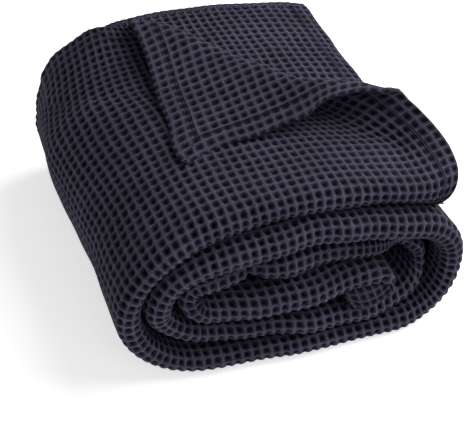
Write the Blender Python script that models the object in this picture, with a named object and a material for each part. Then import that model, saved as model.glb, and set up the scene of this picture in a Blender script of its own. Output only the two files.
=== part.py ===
"""Waffle weave cotton blanket, folded lengthwise into a soft band and wound flat into a roll.

Metres, +Z up, with the origin under the middle of the roll. The roll's axis runs along Y, and the
end that shows faces -Y. The band is followed from its loose end at the top right, round the left
side, and so inwards to the core. The top layer's free corner is turned back over the roll as a
sheet of its own. All sizes below are in millimetres.
"""
import math

import bmesh
import bpy
import numpy as np

MM = 0.001

# A twin blanket of 1.68 x 2.29 m, folded in four across its width.
BAND_WIDTH = 395.0          # front crest to back crest, along Y
CREST_RADIUS = 16.0         # of the folds that the band shows at either end of the roll
SHEET_THICK = 4.0           # one layer of the waffle weave
CLEARANCE = 0.7             # under the turned-back corner, where it lies on the roll

# The six plies of the flattened winding. Heights are of the band's middle, at the ply's left end,
# its centre and its right end; crown is how much thicker the ply is at its centre, and crest_out
# how far its front crest stands out of the end face.
PLY_COLUMNS = ("left_x", "right_x", "left_z", "mid_z", "right_z", "thick", "crown", "crest_out")
PLIES = {
    "A": (-72.0, 168.0, 180.6, 174.6, 143.4, 30.0, 0.0, 0.0),
    "F": (-138.0, 122.0, 16.0, 16.0, 15.0, 32.0, 0.0, -4.0),
    "B": (-104.0, 124.0, 144.2, 147.2, 122.8, 32.0, 0.0, 7.0),
    "E": (-112.0, 92.0, 49.0, 48.6, 44.6, 27.0, 2.0, -6.0),
    "C": (-121.0, 92.0, 112.4, 115.4, 101.2, 25.0, 4.0, -6.0),
    "D": (-121.0, 88.0, 81.8, 82.2, 74.4, 29.6, 3.0, 3.0),
}

# The turns between the plies, in the order of the winding. Apex is the outermost point of the
# band's middle, and fullness the exponent of the turn's superellipse (2 is a plain ellipse).
TURN_COLUMNS = ("from_ply", "to_ply", "apex_x", "apex_z", "thick", "fullness")
TURNS = (
    ("A", "F", -206.0, 86.0, 28.0, 2.05),
    ("F", "B", 179.0, 71.0, 31.0, 2.02),
    ("B", "E", -175.0, 92.0, 27.0, 1.9),
    ("E", "C", 144.0, 72.0, 26.0, 2.1),
    ("C", "D", -139.0, 97.5, 26.0, 2.0),
)

# The end face leans out towards its foot, and more so on the right: rows of (x, lean).
LEAN_FROM_Z = 165.0
LEAN = ((-205.0, 0.10), (-130.0, 0.20), (-30.0, 0.31), (60.0, 0.34), (200.0, 0.31))
TANGENT_DROP = 11.7         # a crest's visible lower edge lies this far below its middle
CREST_SETBACK = 10.9        # middle of the top crest behind the Y origin
BACK_FOLLOWS = 0.15         # share of the lean and unevenness that the back end repeats
BACK_RISE = 0.035           # the roll is a little taller at the back
BACK_SLIMMING = 0.064       # and slimmer there, up to one height, which dies out by another
BACK_SLIM_TO_Z = 85.0
BACK_FULL_FROM_Z = 131.0

PLY_STEP = 21.0             # spacing of the band's sections along a ply
TURN_STEP = 11.0            # and round a turn
ARC_PER_REACH = 1.12        # how much longer a quarter turn is than its chord
FEWEST_STEPS = 4            # in a ply or a quarter turn
EASINGS = 3                 # passes that round off the joints between plies and turns
END_ANGLES = (0.30, 0.62, 0.86)   # sections of a rounded end, in quarter turns
CREST_SEGMENTS = 6
SIDE_SEGMENTS = 5

# The turned-back corner, in sections across its fold from the back of the roll to the right.
# Ridge is the fold's highest visible line, bend the radius of the soft loop there, and edge is
# where the sheet below the fold has come down to the roll. A lift is a height above the roll.
FOLD_COLUMNS = ("share", "ridge_x", "ridge_y", "ridge_lift", "bend", "edge_x", "edge_y", "edge_lift")
FOLD = (
    (0.00, -77.0, 369.0, 16.0, 7.5, -76.0, 300.0, 2.7),
    (0.15, -36.0, 338.0, 20.0, 10.0, -56.0, 262.0, 2.7),
    (0.31, -8.0, 290.0, 23.0, 11.8, -32.0, 218.0, 2.7),
    (0.52, 24.0, 226.0, 28.0, 14.5, 4.0, 166.0, 2.7),
    (0.67, 55.0, 183.0, 36.0, 18.5, 38.0, 112.0, 2.7),
    (0.77, 76.0, 161.0, 42.0, 20.0, 64.0, 74.0, 2.7),
    (0.91, 125.0, 139.0, 54.0, 19.0, 118.0, 16.0, 2.7),
    (1.00, 151.0, 122.0, 62.0, 9.0, 181.0, -12.0, 14.0),
)

# The two hems of the flap that lies over the fold, from the ridge (way 0) to its tip (way 1).
HEM_COLUMNS = ("way", "side_x", "side_y", "side_lift", "end_x", "end_y", "end_lift")
HEMS = (
    (0.00, -77.0, 369.0, 16.0, 151.0, 122.0, 62.0),
    (0.15, -76.0, 329.0, 12.0, 115.0, 116.0, 52.0),
    (0.30, -80.0, 288.0, 9.0, 78.0, 117.0, 38.0),
    (0.45, -85.0, 248.0, 6.0, 40.0, 107.0, 23.0),
    (0.60, -91.0, 208.0, 4.4, 2.0, 108.0, 11.0),
    (0.75, -95.0, 167.0, 3.4, -35.0, 111.0, 4.6),
    (0.90, -100.0, 127.0, 2.9, -72.0, 106.0, 3.0),
    (0.98, -102.0, 107.0, 2.7, -92.0, 102.0, 2.7),
)
FOLD_DIRECTION = (-0.735, -0.678)   # in plan, from the ridge towards the tip
RIDGE_ANGLE = 45.0          # the ridge's place on the bend, from its top, in degrees
BEND_ANGLES = (0.0, 45.0, 90.0, 135.0, 180.0)
LEG_WAYS = (0.22, 0.46, 0.72, 1.0)  # rows of the sheet below the fold, bend to edge
LEG_BULGE = 15.0            # the end hem bows out to the right below the fold,
LEG_BULGE_FADE = 8          # which dies out this fast along the fold
RIDGE_FADE = 1.6            # how fast the ridge's bends die out towards the tip
FOLD_STATIONS = 16
FEATHERED_THICK = 1.6       # at the sheet's lower edge, where it runs into the roll's top layer

INDIGO_COTTON = (0.035, 0.033, 0.052, 1.0)


def clear_scene():
    for obj in list(bpy.data.objects):
        bpy.data.objects.remove(obj, do_unlink=True)


def named(columns, row):
    return dict(zip(columns, row))


def ply(name):
    return named(PLY_COLUMNS, PLIES[name])


def smooth(at, places, values):
    """Values read from a smooth curve through the table's own ones."""
    places, values = np.array(places), np.array(values)
    slopes = np.gradient(values, places)
    k = int(np.clip(np.searchsorted(places, at) - 1, 0, len(places) - 2))
    step = places[k + 1] - places[k]
    f = (at - places[k]) / step
    return ((2 * f ** 3 - 3 * f ** 2 + 1) * values[k] + (f ** 3 - 2 * f ** 2 + f) * step * slopes[k]
            + (3 * f ** 2 - 2 * f ** 3) * values[k + 1] + (f ** 3 - f ** 2) * step * slopes[k + 1])


def table_at(columns, rows, at):
    """One row of a table at any place along its first column."""
    places = [row[0] for row in rows]
    return {name: smooth(at, places, [row[k] for row in rows]) for k, name in enumerate(columns)}


# ---- the wound band ----

def ply_points(name, leftwards):
    """Points (x, z, thickness, crest_out) along one ply, on a parabola through its heights."""
    row = ply(name)
    count = max(FEWEST_STEPS, round((row["right_x"] - row["left_x"]) / PLY_STEP))
    points = []
    for k in range(count + 1):
        f = k / count
        x = row["left_x"] + f * (row["right_x"] - row["left_x"])
        z = (row["left_z"] * (1 - f) * (1 - 2 * f) + row["mid_z"] * 4 * f * (1 - f)
             + row["right_z"] * f * (2 * f - 1))
        points.append((x, z, row["thick"] + row["crown"] * 4 * f * (1 - f), row["crest_out"]))
    return points[::-1] if leftwards else points


def turn_points(turn, leftwards):
    """Points of one turn, as two quarters of a superellipse that meet at the apex."""
    side = "left" if leftwards else "right"
    points = []
    for into_apex, name in ((True, turn["from_ply"]), (False, turn["to_ply"])):
        row = ply(name)
        x, z = row[side + "_x"], row[side + "_z"]
        reach = math.hypot(turn["apex_x"] - x, turn["apex_z"] - z)
        count = max(FEWEST_STEPS, round(ARC_PER_REACH * reach / TURN_STEP))
        for k in range(1, count + 1):
            angle = math.pi / 2 * (k / count if into_apex else 1 - k / count)
            across = math.sin(angle) ** (2 / turn["fullness"])
            along = math.cos(angle) ** (2 / turn["fullness"])
            share = math.sin(angle) ** 2
            points.append((x + (turn["apex_x"] - x) * across,
                           turn["apex_z"] + (z - turn["apex_z"]) * along,
                           row["thick"] * (1 - share) + turn["thick"] * share,
                           row["crest_out"] * (1 - share / 2)))
    return points[:-1]


def winding():
    """The band's middle line from the loose end to the core, with its thickness and crest."""
    points = ply_points("A", True)
    leftwards = True
    for values in TURNS:
        turn = named(TURN_COLUMNS, values)
        points += turn_points(turn, leftwards)
        leftwards = not leftwards
        points += ply_points(turn["to_ply"], leftwards)
    line = np.array(points)
    for _ in range(EASINGS):
        line[1:-1] = 0.5 * line[1:-1] + 0.25 * (line[:-2] + line[2:])
    return line


def outward(line):
    """Unit vectors across the winding, towards its outer side."""
    along = np.gradient(line[:, :2], axis=0)
    along /= np.linalg.norm(along, axis=1)[:, None]
    return np.stack([along[:, 1], -along[:, 0]], axis=1)


def crest_middle(x, z, crest_out):
    """Y of the middle of the front crest."""
    lean = np.interp(x, [row[0] for row in LEAN], [row[1] for row in LEAN])
    return CREST_SETBACK - lean * (LEAN_FROM_Z + TANGENT_DROP - z) - crest_out


def backward(y):
    return np.clip(y / BAND_WIDTH, 0, 1)


def shaped(x, y, z):
    """A point of the roll, moved to the form that the roll has that far back."""
    slimming = BACK_SLIMMING * np.interp(z, (BACK_SLIM_TO_Z, BACK_FULL_FROM_Z), (1.0, 0.0))
    return x * (1 - slimming * backward(y)), y, z * (1 + BACK_RISE * backward(y))


def band_ring(x, z, normal, half, crest_out):
    """One closed ring round the band: outer side, back crest, inner side, front crest."""
    front = crest_middle(x, z, crest_out)
    back = BAND_WIDTH - CREST_RADIUS + BACK_FOLLOWS * front
    ring = []
    for side, start, end in ((1, front, back), (-1, back, front)):
        for k in range(SIDE_SEGMENTS):
            ring.append((start + k / SIDE_SEGMENTS * (end - start), side * half))
        for k in range(CREST_SEGMENTS):
            angle = math.pi * k / CREST_SEGMENTS
            ring.append((end + side * half * math.sin(angle), side * half * math.cos(angle)))
    return [shaped(x + normal[0] * out, y, max(z + normal[1] * out, 0.0)) for y, out in ring]


def band_rings():
    """All rings, with a rounded end where the band begins and where it ends."""
    line = winding()
    out = outward(line)
    rings = [band_ring(x, z, out[k], thick / 2, crest_out)
             for k, (x, z, thick, crest_out) in enumerate(line)]
    for at_start in (True, False):
        end, normal = (line[0], out[0]) if at_start else (line[-1], out[-1])
        beyond = (-normal[1], normal[0]) if not at_start else (normal[1], -normal[0])
        half = end[2] / 2
        for turn in END_ANGLES:
            reach = half * math.sin(turn * math.pi / 2)
            ring = band_ring(end[0] - beyond[0] * reach, end[1] - beyond[1] * reach, normal,
                             half * math.cos(turn * math.pi / 2), end[3])
            rings = [ring] + rings if at_start else rings + [ring]
    return rings


def band_mesh(rings):
    """Points and faces of the solid: a strip between neighbouring rings, and an end at either side."""
    count = len(rings[0])
    points = [point for ring in rings for point in ring]
    faces = []
    for k in range(len(rings) - 1):
        for j in range(count):
            a, b = k * count + j, k * count + (j + 1) % count
            faces.append((a, b, b + count, a + count))
    last = (len(rings) - 1) * count
    for start, turned in ((0, True), (last, False)):
        for j in range(count // 2 - 1):
            corners = (start + j, start + j + 1, start + count - 2 - j, start + count - 1 - j)
            faces.append(corners[::-1] if turned else corners)
    return points, faces


# ---- the turned-back corner ----

def roll_top(line):
    """A function giving the roll's height under a point of the sheet."""
    outer = line[:, :2] + outward(line) * line[:, 2:3] / 2
    top = outer[:np.argmin(outer[:, 0])][::-1]

    def height(x, y):
        shaped_x, _, shaped_z = shaped(top[:, 0], y, top[:, 1])
        return np.interp(x, shaped_x, shaped_z)
    return height


def corner_rows():
    """Rows of (x, y, lift) along the fold, from the sheet's lower edge over the bend to the tip."""
    direction = np.array(FOLD_DIRECTION)
    shares = np.linspace(0, 1, FOLD_STATIONS)
    fold = [table_at(FOLD_COLUMNS, FOLD, share) for share in shares]
    turn = math.radians(RIDGE_ANGLE)
    rows = []
    for angle in BEND_ANGLES:
        row = []
        for at in fold:
            ridge = np.array((at["ridge_x"], at["ridge_y"]))
            plan = ridge + direction * at["bend"] * (math.sin(turn) - math.sin(math.radians(angle)))
            lift = at["ridge_lift"] + at["bend"] * (math.cos(math.radians(angle)) - math.cos(turn))
            row.append((*plan, lift))
        rows.append(row)
    below = rows[-1]
    for way in LEG_WAYS:
        row = []
        for share, at, (x, y, lift) in zip(shares, fold, below):
            bulge = LEG_BULGE * math.sin(math.pi * way) * share ** LEG_BULGE_FADE
            row.append((x + way * (at["edge_x"] - x) + bulge, y + way * (at["edge_y"] - y),
                        lift + way * (at["edge_lift"] - lift)))
        rows.append(row)
    rows.reverse()
    bend_top = rows[-1]
    start = named(HEM_COLUMNS, HEMS[0])
    for values in HEMS[1:]:
        hem = named(HEM_COLUMNS, values)
        fade = (1 - hem["way"]) ** RIDGE_FADE
        row = []
        for share, top in zip(shares, bend_top):
            point = []
            for k, name in enumerate(("x", "y", "lift")):
                straight = hem["side_" + name] * (1 - share) + hem["end_" + name] * share
                chord = start["side_" + name] * (1 - share) + start["end_" + name] * share
                point.append(straight + fade * (top[k] - chord))
            row.append(tuple(point))
        rows.append(row)
    return rows


def corner_mesh(line):
    """The sheet as a closed solid of even thickness, thinned where it runs into the roll's top."""
    height = roll_top(line)
    least = CLEARANCE + SHEET_THICK / 2
    grid = np.array([[(x, y, height(x, y) + max(lift, least)) for x, y, lift in row]
                     for row in corner_rows()])
    across, along = np.gradient(grid, axis=0), np.gradient(grid, axis=1)
    normal = np.cross(across, along)
    normal /= np.linalg.norm(normal, axis=2)[:, :, None]
    half = np.full(grid.shape[:2], SHEET_THICK / 2)
    half[0] = FEATHERED_THICK / 2
    grid[0, :, 2] -= (SHEET_THICK - FEATHERED_THICK) / 2
    sides = np.concatenate([(grid + normal * half[:, :, None]).reshape(-1, 3),
                            (grid - normal * half[:, :, None]).reshape(-1, 3)])
    rows, columns = grid.shape[:2]
    under = rows * columns
    faces = []
    for i in range(rows - 1):
        for j in range(columns - 1):
            a = i * columns + j
            faces.append((a, a + 1, a + columns + 1, a + columns))
            faces.append((under + a, under + a + columns, under + a + columns + 1, under + a + 1))
    rim = ([j for j in range(columns)] + [i * columns + columns - 1 for i in range(1, rows)]
           + [under - 1 - j for j in range(1, columns)] + [i * columns for i in range(rows - 2, 0, -1)])
    for a, b in zip(rim, rim[1:] + rim[:1]):
        faces.append((b, a, a + under, b + under))
    return [tuple(point) for point in sides], faces


# ---- objects ----

def cotton():
    material = bpy.data.materials.new("indigo_cotton")
    material.use_nodes = True
    shader = material.node_tree.nodes["Principled BSDF"]
    shader.inputs["Base Color"].default_value = INDIGO_COTTON
    shader.inputs["Roughness"].default_value = 0.95
    shader.inputs["Metallic"].default_value = 0.0
    return material


def add_solid(name, points, faces, centre, material):
    mesh = bpy.data.meshes.new(name)
    mesh.from_pydata([tuple((np.array(point) - centre) * MM) for point in points], [], faces)
    shape = bmesh.new()
    shape.from_mesh(mesh)
    bmesh.ops.recalc_face_normals(shape, faces=shape.faces)
    bmesh.ops.triangulate(shape, faces=shape.faces)
    shape.to_mesh(mesh)
    shape.free()
    mesh.materials.append(material)
    mesh.shade_smooth()
    solid = bpy.data.objects.new(name, mesh)
    bpy.context.scene.collection.objects.link(solid)
    return solid


def build():
    clear_scene()
    band = band_mesh(band_rings())
    corner = corner_mesh(winding())
    everything = np.array(band[0] + corner[0])
    centre = (everything.min(axis=0) + everything.max(axis=0)) / 2
    centre[2] = 0.0
    material = cotton()
    add_solid("rolled_blanket", *band, centre, material)
    add_solid("turned_back_corner", *corner, centre, material)


if __name__ == "__main__":
    build()
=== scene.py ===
import math

import bpy
import numpy as np
from mathutils import Matrix, Vector


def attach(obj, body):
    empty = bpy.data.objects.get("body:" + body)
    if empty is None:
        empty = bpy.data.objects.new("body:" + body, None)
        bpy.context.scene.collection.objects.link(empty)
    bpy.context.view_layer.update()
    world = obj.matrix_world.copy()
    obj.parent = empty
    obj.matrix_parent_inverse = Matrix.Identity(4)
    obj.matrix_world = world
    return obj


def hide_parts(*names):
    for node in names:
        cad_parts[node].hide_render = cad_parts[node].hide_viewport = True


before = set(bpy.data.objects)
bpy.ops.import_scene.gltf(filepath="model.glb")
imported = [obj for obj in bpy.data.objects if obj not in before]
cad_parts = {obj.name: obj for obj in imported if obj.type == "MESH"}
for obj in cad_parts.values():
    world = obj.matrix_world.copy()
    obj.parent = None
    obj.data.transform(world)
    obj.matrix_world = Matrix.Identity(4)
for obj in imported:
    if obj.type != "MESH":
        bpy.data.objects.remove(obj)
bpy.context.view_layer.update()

# A waffle weave cotton blanket, folded in four and rolled flat, one corner of its top layer turned
# back over the roll. Sizes are in millimetres, in the frame that the tables were measured in:
# X to the right, Y back along the roll's axis, Z up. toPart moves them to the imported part's frame.
# Places in the cloth are counted in cells: u round the roll from the loose end, and v across it
# from the back edge to the front fold.
partOrigin = np.array((-12.99, 170.056, 0.0))
millimetre = 0.001


def toPart(points):
    return (np.asarray(points) - partOrigin) * millimetre


cloth = {
    "cellLong": 11.0,       # one waffle cell, round the roll
    "cellWide": 11.7,       # and along its axis
    "depth": 3.8,           # ridge to pocket
    "crossSag": 1.3,        # the ridges round the roll lie a little lower
    "ridgeShare": 0.20,     # of half a cell, from the ridge's middle to where its side starts,
    "wallShare": 0.68,      # and the side's own share
    "pressed": 0.80,        # depth of the cells on the flat of the roll,
    "stretched": 1.25,      # and over the front folds, where the cloth is pulled open
    "openFrom": 31,         # the cell across where that starts,
    "openOver": 3,          # and the cells that it takes
    "lump": 0.8,            # soft unevenness, and its length in cells
    "lumpCells": 7.0,
    "drift": 0.09,          # how far the rows wander, in cells,
    "driftCells": 9.0,
    "jitter": 0.035,        # and how far single cells do
    "jitterCells": 2.3,
    "uneven": 0.22,         # how much the pockets differ in depth
    "unevenCells": 3.1,
    "thin": 3.5,            # no pocket goes deeper where both faces of the cloth show
    "backEdge": 11.0,       # how far the flat runs on behind each row's back
    "lowest": 0.2,          # the underside stays this far above the floor
}
seeds = {"driftU": 11, "driftV": 12, "uneven": 13, "jitterU": 14, "jitterV": 15, "lumps": 21,
         "lowerLumps": 22, "back": 31, "endHems": 33, "front": 41}
# Where the mesh has its rows in each cell: on what shows, in the linings that lie in shade inside the core,
# and at the back.
fineOffsets = (0.0, 0.11, 0.27, 0.5, 0.73, 0.89)
liningOffsets = (0.0, 0.25, 0.5, 0.75)
backOffsets = (0.0, 0.15, 0.5, 0.85)
# Cells gathered into soft pleats at the right of the core.
pleats = {"at": 165.5, "spread": 2.2, "cells": 2.0, "rows": (161.6, 169.5, 0.1)}


def smoothStep(value):
    value = np.clip(value, 0, 1)
    return value * value * (3 - 2 * value)


def rising(value, start, length):
    return smoothStep((value - start) / length)


# Soft unevenness, about -1 to 1: six sine waves in directions that the seed fixes.
def waveSum(u, v, seed, length):
    rng = np.random.default_rng(seed)
    total = np.zeros(np.broadcast(u, v).shape)
    for _ in range(6):
        angle, phase = rng.uniform(0, 2 * math.pi, 2)
        size = length * rng.uniform(0.6, 1.6)
        total += np.sin(2 * math.pi * (u * math.cos(angle) + v * math.sin(angle)) / size + phase)
    return total / 3


def lumpsAt(u, v, seed=seeds["lumps"]):
    return cloth["lump"] * waveSum(u, v, seed, cloth["lumpCells"])


# Where the weave's rows really run: gathered in the pleats, and wandering a little everywhere.
def drifted(u, v):
    u = u + pleats["cells"] * (1 + np.tanh((u - pleats["at"]) / pleats["spread"]))
    shiftU = (cloth["drift"] * waveSum(u, v, seeds["driftU"], cloth["driftCells"])
              + cloth["jitter"] * waveSum(u, v, seeds["jitterU"], cloth["jitterCells"]))
    shiftV = (cloth["drift"] * waveSum(u, v, seeds["driftV"], cloth["driftCells"])
              + cloth["jitter"] * waveSum(u, v, seeds["jitterV"], cloth["jitterCells"]))
    return u + shiftU, v + shiftV


# One face of the weave: its relief under the ridges, and how far in a pocket each place lies.
def cellRelief(u, v, strength):
    flat, wall = cloth["ridgeShare"], cloth["wallShare"]
    towardsU = 1 - np.abs(u - np.round(u)) * 2      # 0 in a pocket's middle, 1 on a ridge
    towardsV = 1 - np.abs(v - np.round(v)) * 2
    wallU = smoothStep((1 - flat - towardsU) / wall)
    rounded = (towardsU ** 3 + towardsV ** 3) ** (1 / 3)    # pockets have soft corners
    pocket = smoothStep((1 - flat - rounded) / wall)
    wander = waveSum(np.round(u - 0.5), np.round(v - 0.5), seeds["uneven"], cloth["unevenCells"])
    uneven = 1 + cloth["uneven"] * wander
    low = (cloth["depth"] * pocket * uneven + cloth["crossSag"] * wallU * (1 - pocket)) * strength
    return -low, pocket * strength * uneven


def opened(v):
    share = rising(v, cloth["openFrom"], cloth["openOver"])
    return cloth["pressed"] + (cloth["stretched"] - cloth["pressed"]) * share


def samples(start, end, offsets=fineOffsets):
    whole = np.arange(math.floor(start), math.ceil(end) + 1)
    places = (whole[:, None] + np.array(offsets)[None, :]).ravel()
    places = places[(places > start) & (places < end)]
    return np.concatenate([[start], places, [end]])


# A smooth curve through a table's values, held at its ends.
def curveAt(at, places, values):
    places, values = np.asarray(places, float), np.asarray(values, float)
    slopes = np.gradient(values, places, axis=0)
    at = np.clip(at, places[0], places[-1])
    k = np.clip(np.searchsorted(places, at, side="right") - 1, 0, len(places) - 2)
    step = places[k + 1] - places[k]
    f = (at - places[k]) / step
    if values.ndim > 1:
        step, f = step[..., None], f[..., None]
    return ((2 * f ** 3 - 3 * f ** 2 + 1) * values[k] + (f ** 3 - 2 * f ** 2 + f) * step * slopes[k]
            + (3 * f ** 2 - 2 * f ** 3) * values[k + 1] + (f ** 3 - f ** 2) * step * slopes[k + 1])


def runLengths(points):
    return np.concatenate([[0], np.cumsum(np.hypot(*np.diff(points, axis=0).T))])


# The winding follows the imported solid's plies, in the order that the band runs through them from
# the top. Heights are of the band's middle at the ply's left end, its centre and its right end.
plies = {
    "A": dict(left=-72, right=168, heights=(180.6, 174.6, 143.4), thick=30, crown=0, crestOut=0),
    "F": dict(left=-138, right=122, heights=(16, 16, 15), thick=32, crown=0, crestOut=-4),
    "B": dict(left=-104, right=124, heights=(144.2, 147.2, 122.8), thick=32, crown=0, crestOut=7),
    "E": dict(left=-112, right=92, heights=(49, 48.6, 44.6), thick=27, crown=2, crestOut=-6),
    "C": dict(left=-121, right=92, heights=(112.4, 115.4, 101.2), thick=25, crown=4, crestOut=-6),
    "D": dict(left=-121, right=88, heights=(81.8, 82.2, 74.4), thick=29.6, crown=3, crestOut=3),
}
turns = (
    dict(start="A", end="F", apex=(-206, 86), thick=28, fullness=2.05),
    dict(start="F", end="B", apex=(179, 71), thick=31, fullness=2.02),
    dict(start="B", end="E", apex=(-175, 92), thick=27, fullness=1.9),
    dict(start="E", end="C", apex=(144, 72), thick=26, fullness=2.1),
    dict(start="C", end="D", apex=(-139, 97.5), thick=26, fullness=2.0),
)
# The last ply's end curls under itself: x, z, thickness, and how far its crest stands out.
innerEnd = ((62, 80, 28, 3), (79, 79, 25, 4), (92, 74.5, 21, 5), (99, 66.5, 16, 7), (99, 57.5, 11, 10),
            (92, 51, 8, 13), (79, 48.5, 6, 15), (64, 48, 6, 15), (50, 49.5, 5, 12), (38, 54, 4, 8))
rollForm = {
    "leanX": (-205, -130, -30, 60, 200),    # the front leans back as it rises, by this per mm at each X,
    "lean": (0.10, 0.20, 0.31, 0.34, 0.31),
    "leanFromZ": 165.0, "tangentDrop": 11.7,    # counted down from here
    "crestSetback": 10.9, "crestRadius": 16.0,
    "depth": 395.0,
    "backFollows": 0.15,        # the back repeats this much of the front's shape
    "backRise": 0.035,          # the roll is this much higher at the back,
    "backSlimming": 0.064,      # and its lower half is this much slimmer there
    "slimToZ": 85.0, "fullFromZ": 131.0,
    "plyStep": 21.0, "turnStep": 11.0, "arcPerReach": 1.12, "easings": 3,
    "outerShare": 0.7, "middleShare": 0.3,      # which of the band's lengths the cells follow
    "cellsAcross": 33,          # from the back edge to where the front crest starts
}
# Where the band sags or is set back: cell, spread in cells, rise, forward edge's shift, thickness.
sags = (
    (67.0, 9.0, -4.0, -4.0, -4.5),      # F is pressed thin under the middle of the roll,
    (73.5, 3.0, -1.0, -5.0, 0.0),       # and spreads at its right end
    (147.0, 9.0, -10.0, -9.0, 0.0),     # E sags over it
    (158.8, 2.8, 0.0, 13.0, -3.5),      # the turn at the right of the core is small and set back,
    (163.2, 2.0, 2.0, 8.0, -5.0),       # and C is thin beside it
    (176.0, 2.2, -2.5, -3.0, 2.5),      # C bulges,
    (180.3, 0.8, 0.0, 7.0, -1.5),       # and has a pucker beside the bulge
    (199.0, 6.0, -4.0, -2.0, 1.0),      # D sags a little
)
wobble = {"size": 2.2, "cells": 9.0, "from": 92.0, "over": 6}      # of the inner coils' front
bandColumns = ("x", "z", "half", "crestOut", "nx", "nz")


def windingLine():
    def plyRows(name, leftwards):
        row = plies[name]
        count = max(4, round((row["right"] - row["left"]) / rollForm["plyStep"]))
        f = np.arange(count + 1) / count
        low, mid, high = row["heights"]
        z = low * (1 - f) * (1 - 2 * f) + mid * 4 * f * (1 - f) + high * f * (2 * f - 1)
        x = row["left"] + f * (row["right"] - row["left"])
        rows = np.stack([x, z, row["thick"] + row["crown"] * 4 * f * (1 - f),
                         np.full(count + 1, float(row["crestOut"]))], axis=1)
        return list(rows[::-1] if leftwards else rows)

    points, leftwards = plyRows("A", True), True
    for turn in turns:
        apexX, apexZ = turn["apex"]
        arc = []
        for intoApex, name in ((True, turn["start"]), (False, turn["end"])):
            row = plies[name]
            x, z = (row["left"], row["heights"][0]) if leftwards else (row["right"], row["heights"][2])
            reach = math.hypot(apexX - x, apexZ - z)
            count = max(4, round(rollForm["arcPerReach"] * reach / rollForm["turnStep"]))
            for k in range(1, count + 1):
                angle = math.pi / 2 * (k / count if intoApex else 1 - k / count)
                across = math.sin(angle) ** (2 / turn["fullness"])
                along = math.cos(angle) ** (2 / turn["fullness"])
                share = math.sin(angle) ** 2
                arc.append((x + (apexX - x) * across, apexZ + (z - apexZ) * along,
                            row["thick"] * (1 - share) + turn["thick"] * share,
                            row["crestOut"] * (1 - share / 2)))
        points += arc[:-1]
        leftwards = not leftwards
        points += plyRows(turn["end"], leftwards)
    while points[-1][0] > innerEnd[0][0] - rollForm["turnStep"]:     # the curl takes over here
        points.pop()
    line = np.array([tuple(row) for row in points] + list(innerEnd), float)
    for _ in range(rollForm["easings"]):
        line[1:-1] = 0.5 * line[1:-1] + 0.25 * (line[:-2] + line[2:])
    return line


# The band at every millimetre of its length, from the loose end to the inner one.
def makeWinding():
    coarse = windingLine()
    lengths = runLengths(coarse[:, :2])
    at = np.arange(0, lengths[-1], 1.0)
    rows = curveAt(at, lengths, coarse)
    along = np.gradient(rows[:, :2], axis=0)
    along /= np.linalg.norm(along, axis=1)[:, None]
    normal = np.stack([along[:, 1], -along[:, 0]], axis=1)
    half = rows[:, 2] / 2
    outerLength = runLengths(rows[:, :2] + normal * half[:, None])
    cells = (rollForm["outerShare"] * outerLength + rollForm["middleShare"] * at) / cloth["cellLong"]
    return dict(at=at, x=rows[:, 0], z=rows[:, 1], half=half, crestOut=rows[:, 3], nx=normal[:, 0],
                nz=normal[:, 1], cells=cells)


winding = makeWinding()
lastCell = winding["cells"][-1]
print("winding:", round(winding["at"][-1]), "mm,", round(lastCell), "cells")


# The band at cells round the roll: its middle, half its thickness, and its front and back edges.
def bandAt(u):
    at = np.interp(u, winding["cells"], winding["at"])
    row = {name: np.interp(at, winding["at"], winding[name]) for name in bandColumns}
    # its inner end is rounded off, and its loose end goes straight on
    beyond = np.clip((u - lastCell) * cloth["cellLong"] / row["half"], 0, math.pi / 2)
    before = np.clip(-u * cloth["cellLong"], 0, None)
    reach = row["half"] * np.sin(beyond) - before
    row["x"] = row["x"] - row["nz"] * reach
    row["z"] = row["z"] + row["nx"] * reach
    lean = np.interp(row["x"], rollForm["leanX"], rollForm["lean"])
    row["front"] = (rollForm["crestSetback"] - row["crestOut"]
                    - lean * (rollForm["leanFromZ"] + rollForm["tangentDrop"] - row["z"]))
    waves = waveSum(u, u * 0, seeds["front"], wobble["cells"])
    row["front"] = row["front"] + wobble["size"] * rising(u, wobble["from"], wobble["over"]) * waves
    for cell, spread, rise, forward, thicker in sags:
        share = np.exp(-((u - cell) / spread) ** 2)
        row["z"] = row["z"] + rise * share
        row["front"] = row["front"] + forward * share
        row["half"] = row["half"] + thicker * share
    row["half"] = row["half"] * np.cos(beyond)
    row["back"] = rollForm["depth"] - rollForm["crestRadius"] + rollForm["backFollows"] * row["front"]
    return row


# The soft roll bulges at its left side, closes in again at the back, and its top spreads at the
# right. Each pair says where a change starts and the length that it comes in over.
softForm = {
    "back": (250, 145),
    "left": (70, 90),
    "bulge": -9.0, "bulgeBack": (90, 180), "bulgeUp": (0, 60),
    "closeZ": (40, 70, 93, 117, 140, 165),
    "closeBy": (-9, -4, 3, 11, 19, 27),
    "drop": -9.5, "dropLeft": (110, 70), "dropUp": (120, 40),
    "spread": 3.5, "spreadBack": 11.5, "spreadRight": (40, 110), "spreadUp": (110, 50),
}


def shaped(x, y, z):
    form = softForm
    backward = np.clip(y / rollForm["depth"], 0, 1)
    low = np.interp(z, (rollForm["slimToZ"], rollForm["fullFromZ"]), (1.0, 0.0))
    atBack = rising(y, *form["back"])
    bulge = form["bulge"] * rising(y, *form["bulgeBack"]) * rising(z, *form["bulgeUp"])
    closing = np.interp(z, form["closeZ"], form["closeBy"])
    left = rising(-x, *form["left"]) * (bulge * (1 - atBack) + closing * atBack)
    right = form["spread"] + form["spreadBack"] * backward
    right = right * rising(x, *form["spreadRight"]) * rising(z, *form["spreadUp"])
    x = x * (1 - rollForm["backSlimming"] * low * backward) + left + right
    z = z + form["drop"] * atBack * rising(-x, *form["dropLeft"]) * rising(z, *form["dropUp"])
    return np.stack([x, y, z * (1 + rollForm["backRise"] * backward)], axis=-1)


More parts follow.
